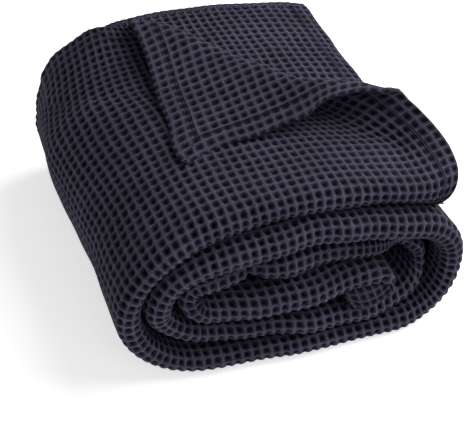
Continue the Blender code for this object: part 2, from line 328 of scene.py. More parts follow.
# Points on the band round its front crest. reach is the way over the crest in mm, from where the
# crest starts on the outer side, and inset how deep under the surface the cloth lies.
def crestPoint(u, reach, inset, relief):
    row = bandAt(u)
    half = np.maximum(row["half"] - inset, 0.05)
    turn = np.clip(reach / half, 0, math.pi)
    outwards = half + relief
    y = row["front"] - outwards * np.sin(turn)
    y = y + np.where(reach < 0, -reach, 0) + np.where(reach > math.pi * half, reach - math.pi * half, 0)
    out = outwards * np.cos(turn)
    return shaped(row["x"] + row["nx"] * out, y, row["z"] + row["nz"] * out)


# Points on the roll's outer layer, from the back edge over the flat and round the crest.
def wrapPoint(u, v, inset, relief):
    row = bandAt(u)
    count = rollForm["cellsAcross"]
    flatLength = row["back"] + cloth["backEdge"] - row["front"]
    reach = np.where(v < count, (v / count - 1) * flatLength, (v - count) * cloth["cellWide"])
    return crestPoint(u, reach, inset, relief)


def middles(grid):
    return (grid[:-1, :-1] + grid[1:, 1:]) / 2


def gridQuads(rows, columns):
    index = np.arange(rows * columns).reshape(rows, columns)
    return np.stack([index[:-1, :-1], index[1:, :-1], index[1:, 1:], index[:-1, 1:]], axis=-1)


def addMesh(name, points, quads, cells, pocket):
    used = np.unique(quads)
    remap = np.zeros(len(points), int)
    remap[used] = np.arange(len(used))
    points, cells, pocket, quads = points[used], cells[used], pocket[used], remap[quads]
    mesh = bpy.data.meshes.new(name)
    mesh.vertices.add(len(points))
    mesh.vertices.foreach_set("co", toPart(points).astype(np.float32).ravel())
    mesh.loops.add(quads.size)
    mesh.loops.foreach_set("vertex_index", quads.astype(np.int32).ravel())
    mesh.polygons.add(len(quads))
    mesh.polygons.foreach_set("loop_start", np.arange(0, quads.size, 4, dtype=np.int32))
    mesh.update(calc_edges=True)
    mesh.shade_smooth()
    low, high = cells.min(axis=0), cells.max(axis=0)
    bake = (cells - low) / (high - low)
    for label, values in (("OFBake", bake), ("cells", cells)):
        layer = mesh.uv_layers.new(name=label)
        layer.data.foreach_set("uv", values[quads.ravel()].astype(np.float32).ravel())
    shade = mesh.attributes.new("pocket", "FLOAT", "POINT")
    shade.data.foreach_set("value", pocket.astype(np.float32))
    mesh.validate()
    piece = bpy.data.objects.new(name, mesh)
    bpy.context.scene.collection.objects.link(piece)
    print(" ", name, 2 * len(quads), "triangles")
    return piece


def addGrid(name, points, cells, pocket, keep=None, flip=False):
    quads = gridQuads(*points.shape[:2])
    if flip:
        quads = quads[..., ::-1]
    quads = quads[keep] if keep is not None else quads.reshape(-1, 4)
    return addMesh(name, points.reshape(-1, 3), quads, cells.reshape(-1, 2), pocket.ravel())


def finishPiece(piece, nodes=("rolled_blanket",)):
    piece.data.materials.append(waffleCotton)
    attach(piece, "root")
    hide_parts(*nodes)


def linearColour(hexValue):
    channels = [int(hexValue[k:k + 2], 16) / 255 for k in (1, 3, 5)]
    return [c / 12.92 if c <= 0.04045 else ((c + 0.055) / 1.055) ** 2.4 for c in channels] + [1.0]


def addNode(tree, kind, settings=None, inputs=None, links=None):
    node = tree.nodes.new(kind)
    for name, value in (settings or {}).items():
        setattr(node, name, value)
    for name, value in (inputs or {}).items():
        node.inputs[name].default_value = value
    for name, source in (links or {}).items():
        tree.links.new(source, node.inputs[name])
    return node


# Piece-dyed cotton in a honeycomb weave: long floats stand up as thin ridges round square pockets. Painted
# shade makes the pockets nearly black, and painted light on the ridges makes a fine bright net.
cotton = {
    # painted light and shade: the lit ridges' colour and the shaded pockets' colour
    "ridge": "#4C4A5D",
    "pocket": "#0A0815",
    "sheenTint": "#A9A7BC",
    "sheen": 0.10,
    "sheenRoughness": 0.5,
    "roughness": 0.95,
    "ior": 1.46,
    "specular": 0.15,
    "pocketEdge": 0.22,     # from a pocket's middle, where the net starts to show,
    "ridgeEdge": 0.95,      # and where it is fully pale
    "netPower": 1.35,       # how thin the bright net is,
    "netShare": 0.72,       # and how bright
    "linePower": 9.0,       # a painted highlight: a fine bright line along each ridge's top
    "lineShare": 0.50,
    "corners": 3.0,         # the power that rounds the pockets' corners
    "crossRidge": 0.95,     # the ridges round the roll look duller
    "deepShare": 0.56,      # how much painted shade a pocket's depth gives it
    "seam": (1.5, 2.4),     # the pocket values that mark a seam's painted shade,
    "seamShare": 0.15,      # and how pale that painted shade leaves it
    "yarnsPerCell": 9,      # a yarn is about 1.2 mm, twice the real one, so that it shows
    "yarnRelief": 0.35,
    "blotchScale": 18.0,    # 55 mm clouds of uneven dye
    "blotch": (0.60, 1.40),
    "fuzzScale": 600.0,     # 1.7 mm specks of raised fibre, coarser than real lint, so that they show
    "fuzz": (0.0, 2.0),
    "bump": 0.9,
    "bumpDepth": 0.0006,
}


def makeCotton():
    material = bpy.data.materials.new("wovenWaffleCotton")
    material.use_nodes = True
    tree = material.node_tree
    shader = tree.nodes["Principled BSDF"]
    for name, value in (("Roughness", cotton["roughness"]), ("IOR", cotton["ior"]),
                        ("Specular IOR Level", cotton["specular"]), ("Sheen Weight", cotton["sheen"]),
                        ("Sheen Roughness", cotton["sheenRoughness"]),
                        ("Sheen Tint", linearColour(cotton["sheenTint"]))):
        shader.inputs[name].default_value = value
    place = addNode(tree, "ShaderNodeTexCoord").outputs["Object"]
    cellMap = addNode(tree, "ShaderNodeUVMap", {"uv_map": "cells"}).outputs["UV"]
    split = addNode(tree, "ShaderNodeSeparateXYZ", links={"Vector": cellMap})

    # the painted bright net of lit ridges: near a ridge either way, with the yarns' twill on it
    ridges, yarns = [], []
    for axis, bright in (("X", 2.0), ("Y", 2.0 * cotton["crossRidge"])):
        share = addNode(tree, "ShaderNodeMath", {"operation": "FRACT"}, links={0: split.outputs[axis]})
        off = addNode(tree, "ShaderNodeMath", {"operation": "SUBTRACT"}, {1: 0.5}, {0: share.outputs[0]})
        size = addNode(tree, "ShaderNodeMath", {"operation": "ABSOLUTE"}, links={0: off.outputs[0]})
        ridge = addNode(tree, "ShaderNodeMath", {"operation": "MULTIPLY"}, {1: bright}, {0: size.outputs[0]})
        turn = addNode(tree, "ShaderNodeMath", {"operation": "MULTIPLY"},
                       {1: 2 * math.pi * cotton["yarnsPerCell"]}, {0: split.outputs[axis]})
        wave = addNode(tree, "ShaderNodeMath", {"operation": "SINE"}, links={0: turn.outputs[0]})
        near = addNode(tree, "ShaderNodeMath", {"operation": "POWER"}, {1: cotton["corners"]},
                       {0: ridge.outputs[0]})
        ridges.append(near.outputs[0])
        yarns.append(addNode(tree, "ShaderNodeMath", {"operation": "MULTIPLY"},
                             links={0: wave.outputs[0], 1: near.outputs[0]}).outputs[0])
    both = addNode(tree, "ShaderNodeMath", {"operation": "ADD"}, links={0: ridges[0], 1: ridges[1]})
    top = addNode(tree, "ShaderNodeMath", {"operation": "POWER"}, {1: 1 / cotton["corners"]},
                  {0: both.outputs[0]})
    height = addNode(tree, "ShaderNodeMapRange",
                     inputs={"From Min": cotton["pocketEdge"], "From Max": cotton["ridgeEdge"]},
                     links={"Value": top.outputs[0]})
    broad = addNode(tree, "ShaderNodeMath", {"operation": "POWER"}, {1: cotton["netPower"]},
                    {0: height.outputs[0]})
    fine = addNode(tree, "ShaderNodeMath", {"operation": "POWER"}, {1: cotton["linePower"]},
                   {0: height.outputs[0]})
    line = addNode(tree, "ShaderNodeMath", {"operation": "MULTIPLY"}, {1: cotton["lineShare"]},
                   {0: fine.outputs[0]})
    net = addNode(tree, "ShaderNodeMath", {"operation": "MULTIPLY_ADD"}, {1: cotton["netShare"]},
                  {0: broad.outputs[0], 2: line.outputs[0]})

    # painted shade: deep pockets and stitched seams are darker
    pocket = addNode(tree, "ShaderNodeAttribute", {"attribute_name": "pocket"}).outputs["Fac"]
    shallow = addNode(tree, "ShaderNodeMapRange",
                      inputs={"From Max": 2.0, "To Min": 1.0, "To Max": 1 - 2 * cotton["deepShare"]},
                      links={"Value": pocket})
    seam = addNode(tree, "ShaderNodeMapRange",
                   inputs={"From Min": cotton["seam"][0], "From Max": cotton["seam"][1],
                           "To Min": 1.0, "To Max": cotton["seamShare"]},
                   links={"Value": pocket})
    sunk = addNode(tree, "ShaderNodeMath", {"operation": "MULTIPLY"},
                   links={0: seam.outputs[0], 1: shallow.outputs[0]})
    pale = addNode(tree, "ShaderNodeMath", {"operation": "MULTIPLY"},
                   links={0: net.outputs[0], 1: sunk.outputs[0]})
    mix = addNode(tree, "ShaderNodeMix", {"data_type": "RGBA"},
                  {6: linearColour(cotton["pocket"]), 7: linearColour(cotton["ridge"])},
                  {0: pale.outputs[0]})

    # uneven dye and raised fibre
    blotch = addNode(tree, "ShaderNodeTexNoise", inputs={"Scale": cotton["blotchScale"], "Detail": 3.0},
                     links={"Vector": place})
    fuzz = addNode(tree, "ShaderNodeTexNoise", inputs={"Scale": cotton["fuzzScale"], "Detail": 2.0},
                   links={"Vector": place})
    cloud = addNode(tree, "ShaderNodeMapRange",
                    inputs={"To Min": cotton["blotch"][0], "To Max": cotton["blotch"][1]},
                    links={"Value": blotch.outputs["Fac"]})
    speck = addNode(tree, "ShaderNodeMapRange",
                    inputs={"To Min": cotton["fuzz"][0], "To Max": cotton["fuzz"][1]},
                    links={"Value": fuzz.outputs["Fac"]})
    uneven = addNode(tree, "ShaderNodeMath", {"operation": "MULTIPLY"},
                     links={0: cloud.outputs[0], 1: speck.outputs[0]})
    vary = addNode(tree, "ShaderNodeMix", {"data_type": "RGBA", "blend_type": "MULTIPLY"}, {0: 1.0},
                   {6: mix.outputs[2], 7: uneven.outputs[0]})
    tree.links.new(vary.outputs[2], shader.inputs["Base Color"])
    woven = addNode(tree, "ShaderNodeMath", {"operation": "ADD"}, links={0: yarns[0], 1: yarns[1]})
    relief = addNode(tree, "ShaderNodeMath", {"operation": "MULTIPLY_ADD"}, {1: cotton["yarnRelief"]},
                     {0: woven.outputs[0], 2: fuzz.outputs["Fac"]})
    bump = addNode(tree, "ShaderNodeBump",
                   inputs={"Strength": cotton["bump"], "Distance": cotton["bumpDepth"]},
                   links={"Height": relief.outputs[0]})
    tree.links.new(bump.outputs["Normal"], shader.inputs["Normal"])
    return material


waffleCotton = makeCotton()
print("material:", waffleCotton.name)


# The turned-back corner. Its tables give places on the cloth's face, as measured on the photo.
corner = {
    # along the fold's highest line: share of the way from the back to the right, cells from the
    # corner's tip (counted along either hem), place, and the radius of the soft bend
    "ridge": ((0.00, 21.7, -83, 353, 229, 13.5), (0.15, 22.0, -41, 326, 231, 15),
              (0.28, 21.4, -9, 288, 223.5, 13), (0.38, 20.9, 10, 259, 221.5, 13),
              (0.48, 20.0, 25, 228, 221, 14), (0.57, 19.6, 43, 206, 222, 15),
              (0.66, 19.0, 55, 184, 223, 17), (0.77, 18.6, 72, 162, 225, 19),
              (0.89, 20.2, 123, 140, 226, 18), (0.93, 21.6, 150, 122, 225, 12),
              (1.00, 22.3, 161, 112, 221, 9)),
    # along the hems: cells from the tip, and place
    "sideHem": ((0, -102, 98, 199), (1.5, -105.6, 115.5, 199.5), (5.6, -96.8, 164, 201),
                (9.9, -93.4, 214, 205), (13.9, -86.5, 260, 214), (18.4, -82, 313, 224),
                (21.6, -83, 353, 229)),
    "endHem": ((0, -102, 98, 199), (4.6, -44, 112, 199), (7.4, -12, 108, 203), (10.1, 19, 109, 209),
               (12.75, 49, 107, 217), (14.65, 69, 116, 221), (17, 96, 118, 224), (18.6, 115, 117, 224),
               (20.2, 134, 111, 223), (21.4, 150.5, 103, 222.5), (22.0, 158.5, 105, 222),
               (22.5, 164.5, 111, 219.5), (23.1, 168.9, 108, 212), (25.1, 181.5, 93, 198),
               (27.1, 192, 74, 186), (28.8, 197.5, 57, 177), (30.1, 199, 42, 171),
               (31.1, 198.2, 30, 167), (32.2, 195.4, 17, 164), (33.2, 190.5, 6, 161),
               (34.3, 182.5, -5, 156), (35.1, 175.5, -10, 151), (36.1, 165.5, -12, 145),
               (37, 156.5, -9, 139)),
    "hemOnTop": 21.6,               # cells of either hem that lie on the roll's top
    "outwards": (0.735, 0.678),     # in plan, square to the fold, away from the tip
    "cells": (42, 37),              # round the roll and along it, that the settling moves
    "mid": 2.0,                     # the sheet's middle below its face
    "slack": 2,                     # cells by which the top layer reaches past the band's own end
    "looseEnd": 9,                  # both faces show up to this cell from the end hem,
    "looseSum": 30,                 # and up to this sum of cells from both hems
    "drawnTo": 34,
    "flatFrom": 3.5, "flatOver": 3, # in its last cells it becomes the roll's own surface
    "underRelief": 0.85,            # the weave is flatter on its under face
    "rimRound": 0.45, "rimCells": 0.25,
    "mapShift": (40.5, 0.5),        # the under face has its own place on the map for baking
    "cutSize": (0.374, 0.433), "area": 0.075,
}
settling = {
    "rounds": 500,
    "turnedCell": 11.9,         # a cell's size on the turned-back face, which is pulled a little,
    "diagonal": 16.2,           # and from one of its corners to the opposite one
    "pull": (0.45, 0.15),       # how much of a stretch, and of a squeeze, a round takes back
    "slant": (0.10, 0.05),
    "smooth": 0.22,
    "weight": (0.15, 0.02),     # under the fold and over it, mm in each round
    "overRoll": 5.0,            # the turned-back face's middle lies this far above the roll
    "bend": (0.35, 2.6),        # radians round the fold that stay where they were measured
    "bendShare": 0.97,          # all but its right end
    "lead": (70, 60),           # mm over which the cloth runs out flat behind the fold
    "sideTo": 21, "endTo": 22,  # cells of the side and end hems that lie on top
    "laidEdge": 3,              # the layer lies on the roll over its last cells,
    "laid": ((34, 9), (30, 14)),        # past these cells across and round it,
    "laidSum": 42, "laidPast": 12,      # and past this sum of both
    "resting": (27, 5),         # and close to the front
    "fromHem": (7, 2), "sweep": (8, 1.7),       # cells in which it comes down from the end hem, and how
    "pastEnd": ((6, 4), (12, 14), (18, 60)),    # mm past the roll's loose end, and the fall there
    "easings": 2, "easeTo": 30, "keep": 0.4, "beside": 0.15,
    "flare": (16, 30),          # cells where the side hem goes over the fold, with no flare
    "legRise": 12, "legAt": 29, "legRound": 3.2, "legAcross": 4.5,      # the lower leg rises to it
}


def flatMiddle(u, v):
    return wrapPoint(u - corner["slack"], v, corner["mid"], 0.0)


# Height of the roll's top under any place.
def rollTop():
    row = bandAt(np.linspace(-1, 40, 500))
    x, z = (row["x"] + row["nx"] * row["half"])[::-1], (row["z"] + row["nz"] * row["half"])[::-1]
    past, fall = np.array(settling["pastEnd"]).T
    x, z = np.concatenate([x, x[-1] + past]), np.concatenate([z, z[-1] - fall])

    def height(places):
        backward = np.clip(places[..., 1] / rollForm["depth"], 0, 1)
        return np.interp(places[..., 0], x, z) * (1 + rollForm["backRise"] * backward)
    return height


# The corner's middle surface at every cell's corner: pinned along the hems and the fold, then
# settled like cloth, so that every cell keeps its size and nothing sinks into the roll.
def settleCorner():
    countU, countV = corner["cells"]
    crest = rollForm["cellsAcross"]
    u, v = np.meshgrid(np.arange(countU + 1.0), np.arange(countV + 1.0), indexing="ij")
    flat = flatMiddle(u, v)
    ridge, side, end = (np.array(corner[name], float) for name in ("ridge", "sideHem", "endHem"))
    total = u + v
    share = v / np.maximum(total, 1)
    perCell = 1 / math.hypot(1 / cloth["cellLong"], 1 / cloth["cellWide"])
    at = curveAt(share, ridge[:, 0], ridge[:, 1:])
    onRidge, ridgePlace, bend = at[..., 0], at[..., 1:4], at[..., 4]
    outwards = np.array((*corner["outwards"], 0.0))
    upwards = np.array((0.0, 0.0, 1.0))
    angle = math.pi / 4 + (total - onRidge) * perCell / bend
    centre = ridgePlace - (bend + corner["mid"])[..., None] * (outwards + upwards) * math.sqrt(0.5)

    def onBend(turn):
        way = np.sin(turn)[..., None] * outwards + np.cos(turn)[..., None] * upwards
        return centre + bend[..., None] * way

    # over the fold: the tip's two hems, spread out between them; under it: back to the flat layer
    shares = share[..., None]
    hemOnTop = corner["hemOnTop"]
    sideAt = curveAt(np.clip(total, 0, hemOnTop), side[:, 0], side[:, 1:])
    endAt = curveAt(np.clip(total, 0, hemOnTop), end[:, 0], end[:, 1:])
    fade = np.clip(total / onRidge, 0, 1)[..., None] ** 3
    chord = side[-1, 1:] * (1 - shares) + curveAt(hemOnTop, end[:, 0], end[:, 1:]) * shares
    upper = sideAt * (1 - shares) + endAt * shares + fade * (ridgePlace - chord)
    upper = upper - upwards * corner["mid"]
    bottomTotal = onRidge + bend * math.pi * 0.75 / perCell
    bottom = onBend(np.full(total.shape, math.pi))
    pulled = bottom - flatMiddle(bottomTotal * (1 - share), bottomTotal * share)
    leadLength = settling["lead"][0] + settling["lead"][1] * (1 - share) ** 2
    lower = flat + pulled * (1 - smoothStep((total - bottomTotal) * perCell / leadLength))[..., None]
    bendFrom, bendTo = settling["bend"]
    nodes = np.where((angle < math.pi)[..., None], onBend(angle), lower)
    nodes = np.where((angle < bendFrom)[..., None], upper, nodes)

    # what stays where it is: the fold, the hems, the laid layer, and all that goes over the crest
    hemDrop = np.where(v < settling["endTo"], corner["mid"], 0)[..., None]
    hemPlace = curveAt(v, end[:, 0], end[:, 1:]) - upwards * hemDrop
    sidePlace = curveAt(u, side[:, 0], side[:, 1:]) - upwards * corner["mid"]
    pinned = (angle > bendFrom) & (angle < bendTo) & (share < settling["bendShare"]) & (u > 0)
    onSide = (v == 0) & (u <= settling["sideTo"])
    nodes[onSide], pinned[onSide] = sidePlace[onSide], True
    onEnd = u == 0
    nodes[onEnd], pinned[onEnd] = hemPlace[onEnd], True
    laid = (u >= countU - settling["laidEdge"]) | (total > settling["laidSum"]) & (u > settling["laidPast"])
    for across, along in settling["laid"]:
        laid = laid | (v >= across) & (u >= along)
    nodes[laid], pinned[laid] = flat[laid], True
    overCrest = (v >= crest) & (u > 0) & ~laid

    def comingDown(cells, power):
        return flat + (hemPlace - flat)[:1] * np.clip(1 - u / cells, 0, 1)[..., None] ** power

    nodes[overCrest], pinned[overCrest] = comingDown(*settling["fromHem"])[overCrest], True
    resting = (u >= settling["resting"][1]) & (v >= settling["resting"][0]) & (v < crest)
    nodes[resting], pinned[resting] = flat[resting], True
    sweep = (v > settling["endTo"]) & (v < crest) & ~pinned      # starts smooth, and settles
    nodes[sweep] = comingDown(*settling["sweep"])[sweep]

    height = rollTop()
    floorLift = np.where(angle < math.pi / 2, settling["overRoll"], -corner["mid"])
    longRest = np.where(total[1:] < onRidge[1:], settling["turnedCell"], cloth["cellLong"])
    wideRest = np.where(total[:, 1:] < onRidge[:, 1:], settling["turnedCell"], cloth["cellWide"])
    pairs = (
        (np.s_[:-1, :], np.s_[1:, :], longRest, *settling["pull"]),
        (np.s_[:, :-1], np.s_[:, 1:], wideRest, *settling["pull"]),
        (np.s_[:-1, :-1], np.s_[1:, 1:], settling["diagonal"], *settling["slant"]),
        (np.s_[1:, :-1], np.s_[:-1, 1:], settling["diagonal"], *settling["slant"]),
    )
    free = ~pinned
    lifted = free & (v <= crest)
    weight = np.where(angle > math.pi, *settling["weight"])
    for _ in range(settling["rounds"]):
        move = np.zeros_like(nodes)
        for first, second, rest, pull, push in pairs:
            gap = nodes[second] - nodes[first]
            strain = np.linalg.norm(gap, axis=-1) / rest - 1
            step = gap * (np.where(strain > 0, pull, push) * strain / (1 + strain))[..., None] * 0.5
            move[first] += step
            move[second] -= step
        smooth = np.zeros_like(nodes)
        smooth[1:-1] += (nodes[:-2] + nodes[2:]) / 2 - nodes[1:-1]
        smooth[:, 1:-1] += (nodes[:, :-2] + nodes[:, 2:]) / 2 - nodes[:, 1:-1]
        move += settling["smooth"] * smooth
        move[..., 2] -= weight
        nodes = nodes + move * free[..., None]
        low = height(nodes) + floorLift
        nodes[..., 2] = np.where(lifted, np.maximum(nodes[..., 2], low), nodes[..., 2])
    for _ in range(settling["easings"]):      # ease the kinks beside the pinned places
        eased = nodes.copy()
        beside = nodes[:-2, 1:-1] + nodes[2:, 1:-1] + nodes[1:-1, :-2] + nodes[1:-1, 2:]
        eased[1:-1, 1:-1] = settling["keep"] * nodes[1:-1, 1:-1] + settling["beside"] * beside
        nodes = np.where((u > settling["easeTo"])[..., None], nodes, eased)
    over = slice(*settling["flare"])
    nodes[over, 0] = 2 * nodes[over, 1] - nodes[over, 2]
    near = ((u - settling["legAt"]) / settling["legRound"]) ** 2 + (v / settling["legAcross"]) ** 2
    nodes[..., 2] += settling["legRise"] * np.exp(-near)
    stretch = np.linalg.norm(np.diff(nodes, axis=0), axis=-1)
    print("corner settled: cells round the roll are", round(stretch.min(), 1), "to",
          round(stretch.max(), 1), "mm")
    return nodes


cornerNodes = settleCorner()


# How much each node counts at places between them, on a smooth curve that goes straight on past
# the first and the last one.
def nodeWeights(at, count):
    k = np.clip(np.floor(at).astype(int), 0, count - 1)
    f = at - k
    table = np.zeros((len(at), count + 1))
    rows = np.arange(len(at))
    for shift, weight in ((-1, (-f + 2 * f ** 2 - f ** 3) / 2), (0, (2 - 5 * f ** 2 + 3 * f ** 3) / 2),
                          (1, (f + 4 * f ** 2 - 3 * f ** 3) / 2), (2, (-f ** 2 + f ** 3) / 2)):
        place = k + shift
        inside = (place >= 0) & (place <= count)
        table[rows[inside], place[inside]] += weight[inside]
        for out, edge, inner in ((place < 0, 0, 1), (place > count, count, count - 1)):
            table[rows[out], edge] += 2 * weight[out]
            table[rows[out], inner] -= weight[out]
    return table


# Middle surface and outward normals of the top layer on a grid of cells.
def sheetGrid(u, v):
    countU, countV = corner["cells"]
    gridU, gridV = np.meshgrid(u, v, indexing="ij")
    settled = np.einsum("ia,abk,jb->ijk", nodeWeights(np.minimum(u, countU), countU), cornerNodes,
                        nodeWeights(np.minimum(v, countV), countV))
    laid = smoothStep((gridU - countU + corner["flatFrom"]) / corner["flatOver"])[..., None]
    place = settled * (1 - laid) + flatMiddle(gridU, gridV) * laid
    normal = np.cross(np.gradient(place, u, axis=0), np.gradient(place, v, axis=1))
    normal /= np.linalg.norm(normal, axis=-1)[..., None]
    return gridU, gridV, place, normal


hemForm = {     # sizes in cells
    "width": 2.0, "edge": 0.15, "edgeOver": 0.3,
    "relief": 0.75,             # of the full relief, where the cloth is doubled
    "thicker": 0.6,             # mm on each face
    "flatter": 0.6, "flatterTo": 0.5,       # the weave is held down beside the stitches
    "stitchOff": 0.12, "stitchWide": 0.06, "mitreWide": 0.07,
    "groove": 1.2,              # mm
    "mitreShade": 2.0, "sideShade": 1.0,    # painted shade in the seams' grooves, how much darker
    "endShade": (2.6, 1.8, 11, 6),          # painted shade along the end hem, less by, from cell, over cells
    "away": 9,                  # no hem reaches so far
}
stitchPlaces = np.array([1.93, 1.98, 2.03, 2.08, 2.15, 2.22, 2.27, 2.32, 2.37])


# A face near the two hems: the weave's strength, the stitches' grooves, the doubled part and the painted
# shade in the seams. Two rows of stitches run along each hem, and a mitre crosses the corner.
def hemRelief(u, v):
    form = hemForm
    width, edge, away = form["width"], form["edge"], form["away"]
    hem = np.maximum(smoothStep((width + edge - u) / form["edgeOver"]),
                     smoothStep((width + edge - v) / form["edgeOver"]))
    fromEnd, fromSide = np.abs(u - width - edge), np.abs(v - width - edge)
    near = np.minimum(np.where(v > width, fromEnd, away), np.where(u > width, fromSide, away))
    strength = 1 - (1 - form["relief"]) * hem
    strength = strength * (1 - form["flatter"] * smoothStep((form["flatterTo"] - near) / form["edgeOver"]))
    stitches = np.exp(-((near - form["stitchOff"]) / form["stitchWide"]) ** 2)
    mitre = np.exp(-((u - v) / form["mitreWide"]) ** 2) * (np.maximum(u, v) < width)
    dark, less, start, over = form["endShade"]
    endShade = dark - less * rising(v, start, over)
    seamShade = np.where(fromEnd < form["flatterTo"], endShade, form["sideShade"])
    shade = stitches * seamShade + form["mitreShade"] * mitre
    return strength, form["groove"] * stitches + form["groove"] * mitre, hem, shade


def makeCorner():
    countV = corner["cells"][1]
    u = np.union1d(samples(0, corner["drawnTo"]), stitchPlaces)
    v = np.union1d(samples(0, countV), stitchPlaces)
    gridU, gridV, place, normal = sheetGrid(u, v)
    midU, midV = middles(gridU), middles(gridV)
    double = (midU < corner["looseEnd"]) | (midU + midV < corner["looseSum"])
    lumps = lumpsAt(gridU - corner["slack"], gridV)
    strength, groove, hem, shade = hemRelief(gridU, gridV)
    driftU, driftV = drifted(gridU - corner["slack"], gridV)
    outerDrop, outerPocket = cellRelief(driftU, driftV, strength * opened(gridV))
    underDrop, underPocket = cellRelief(driftU + 0.5, driftV + 0.5, strength * corner["underRelief"])
    outerDrop, underDrop = (np.maximum(drop, -cloth["thin"]) for drop in (outerDrop, underDrop))
    half = corner["mid"] + hemForm["thicker"] * hem
    fromRim = np.clip(np.minimum(gridU, gridV) / corner["rimCells"], 0, 1)
    rounding = 1 - corner["rimRound"] * (1 - fromRim) ** 2
    outer = place + normal * (lumps + (half + outerDrop - groove) * rounding)[..., None]
    under = place + normal * (lumps - (half + underDrop - groove) * rounding)[..., None]
    faces = gridQuads(*gridU.shape)[double]
    count = gridU.size
    # the rim joins every edge that only one face uses
    edges = np.concatenate([faces[:, [k, (k + 1) % 4]] for k in range(4)])
    key = np.sort(edges, axis=1)
    _, first, uses = np.unique(key[:, 0] * count + key[:, 1], return_index=True, return_counts=True)
    rim = edges[first[uses == 1]]
    rimFaces = np.stack([rim[:, 1], rim[:, 0], rim[:, 0] + count, rim[:, 1] + count], axis=1)
    quads = np.concatenate([faces, faces[:, ::-1] + count, rimFaces])
    cells = np.stack([driftU, driftV], -1).reshape(-1, 2)
    piece = addMesh("turned_corner", np.concatenate([outer.reshape(-1, 3), under.reshape(-1, 3)]), quads,
                    np.concatenate([cells, cells + corner["mapShift"]]),
                    np.concatenate([(outerPocket + shade).ravel(), (underPocket + shade).ravel()]))
    finishPiece(piece, ("turned_back_corner", "rolled_blanket"))


topLayer = {
    "cells": 45, "across": 39,
    "backRows": (-0.42, -0.4, -0.34, -0.22, -0.1),      # round off its back edge
    "backRound": (7, 0.42),         # by so many mm over so many cells
    "settledFrom": 7, "settledOver": 6,     # cells in which the settled corner runs into the roll,
    "crestFrom": 34, "crestOver": 3,        # near the front crest,
    "endOver": 4,                           # and past the part that shows both faces
    # painted shade in the stitch grooves
    "seamShade": 0.5,
    "cutSize": (0.517, 0.45),
}


# The layer that the corner belongs to, where only its outer face shows.
def makeTopLayer():
    form = topLayer
    countU, countV = corner["cells"]
    slack, looseEnd = corner["slack"], corner["looseEnd"]
    u = samples(0, form["cells"] + slack)
    v = np.concatenate([form["backRows"], samples(0, form["across"])])
    gridU, gridV = np.meshgrid(u, v, indexing="ij")
    midU, midV = middles(gridU), middles(gridV)
    keep = ~((midU < looseEnd) | (midU + midV < corner["looseSum"]))
    keep = keep | ((midU < looseEnd) & (midV > countV) & (midU > 1))
    driftU, driftV = drifted(gridU - slack, gridV)
    strength, groove, _, _ = hemRelief(gridU + hemForm["away"], gridV)
    relief, pocket = cellRelief(driftU, driftV, strength * opened(gridV))
    drop, over = form["backRound"]
    overEdge = 1 - np.sqrt(np.clip(1 - (np.clip(-gridV, 0, 1) / over) ** 2, 0, 1))
    relief = relief - groove - drop * overEdge
    lumps = lumpsAt(gridU - slack, gridV)
    laid = wrapPoint(gridU - slack, gridV, 0.0, relief + lumps)
    nearU, nearV = (u <= countU).sum(), (v <= countV).sum()
    near = np.s_[:nearU, :nearV]        # where the settled corner reaches
    _, _, place, normal = sheetGrid(u[:nearU], v[:nearV])
    raised = place + normal * (corner["mid"] + relief + lumps)[near][..., None]
    blend = smoothStep((gridU[near] - countU + form["settledFrom"]) / form["settledOver"])
    atCrest = rising(gridV[near], form["crestFrom"], form["crestOver"])
    blend = np.maximum(blend, atCrest * rising(gridU[near], looseEnd, form["endOver"]))[..., None]
    laid[near] = raised * (1 - blend) + laid[near] * blend
    pocket = pocket + form["seamShade"] * groove
    piece = addGrid("top_layer", laid, np.stack([driftU, driftV], -1), pocket, keep=keep)
    finishPiece(piece)


# The layer under the turned-back corner, with the hem of its own end.
secondLayer = {
    "start": 0.7, "end": 40, "across": 33,
    "inset": 4.6,                   # mm under the top layer
    "shift": 0.3,                   # its weave's cells don't lie under the top one's
    "keepSum": 31, "keepEdge": 6,   # cells from its hems that can be seen
    "cutSize": (0.43, 0.386), "area": 0.085,
}


def makeSecondLayer():
    form = secondLayer
    start = form["start"]
    u = np.union1d(samples(start, form["end"]), stitchPlaces + start)
    v = samples(0, form["across"])
    gridU, gridV = np.meshgrid(u, v, indexing="ij")
    midU, midV = middles(gridU), middles(gridV)
    keep = (midU + midV < form["keepSum"]) | (midU < form["keepEdge"]) | (midV < form["keepEdge"])
    strength, groove, _, shade = hemRelief(gridU - start, gridV + hemForm["away"])
    driftU, driftV = drifted(gridU + form["shift"], gridV)
    relief, pocket = cellRelief(driftU, driftV, strength)
    relief = relief - groove + lumpsAt(gridU, gridV, seeds["lowerLumps"])
    points = wrapPoint(gridU, gridV, form["inset"], relief)
    piece = addGrid("second_layer", points, np.stack([driftU, driftV], -1), pocket + shade, keep=keep)
    finishPiece(piece)


# A stretch of the roll's surface. place turns its grid and relief into points, across says which cell across
# the cloth its v starts from, and the last argument adds painted shade to all of it.
def addStretch(name, u, v, place, across, paintedShade=0.0):
    gridU, gridV = np.meshgrid(u, v, indexing="ij")
    driftU, driftV = drifted(gridU, gridV)
    relief, pocket = cellRelief(driftU, driftV, opened(gridV + across))
    points = place(gridU, gridV, relief + lumpsAt(gridU, gridV))
    points[..., 2] = np.maximum(points[..., 2], cloth["lowest"])
    piece = addGrid(name, points, np.stack([driftU, driftV], -1), pocket + paintedShade)
    finishPiece(piece)


def crestStrip(name, uRange, reachRange, offsets=fineOffsets, paintedShade=0.0):
    wide = cloth["cellWide"]
    dense = np.arange(*pleats["rows"])
    u = np.union1d(samples(*uRange, offsets), dense[(dense > uRange[0]) & (dense < uRange[1])])
    v = samples(reachRange[0] / wide, reachRange[1] / wide, offsets)
    addStretch(name, u, v, lambda gridU, gridV, relief: crestPoint(gridU, gridV * wide, 0.0, relief),
               rollForm["cellsAcross"], paintedShade)


def wrapPiece(name, uRange, vRange):
    addStretch(name, samples(*uRange), samples(*vRange),
               lambda gridU, gridV, relief: wrapPoint(gridU, gridV, 0.0, relief), 0)


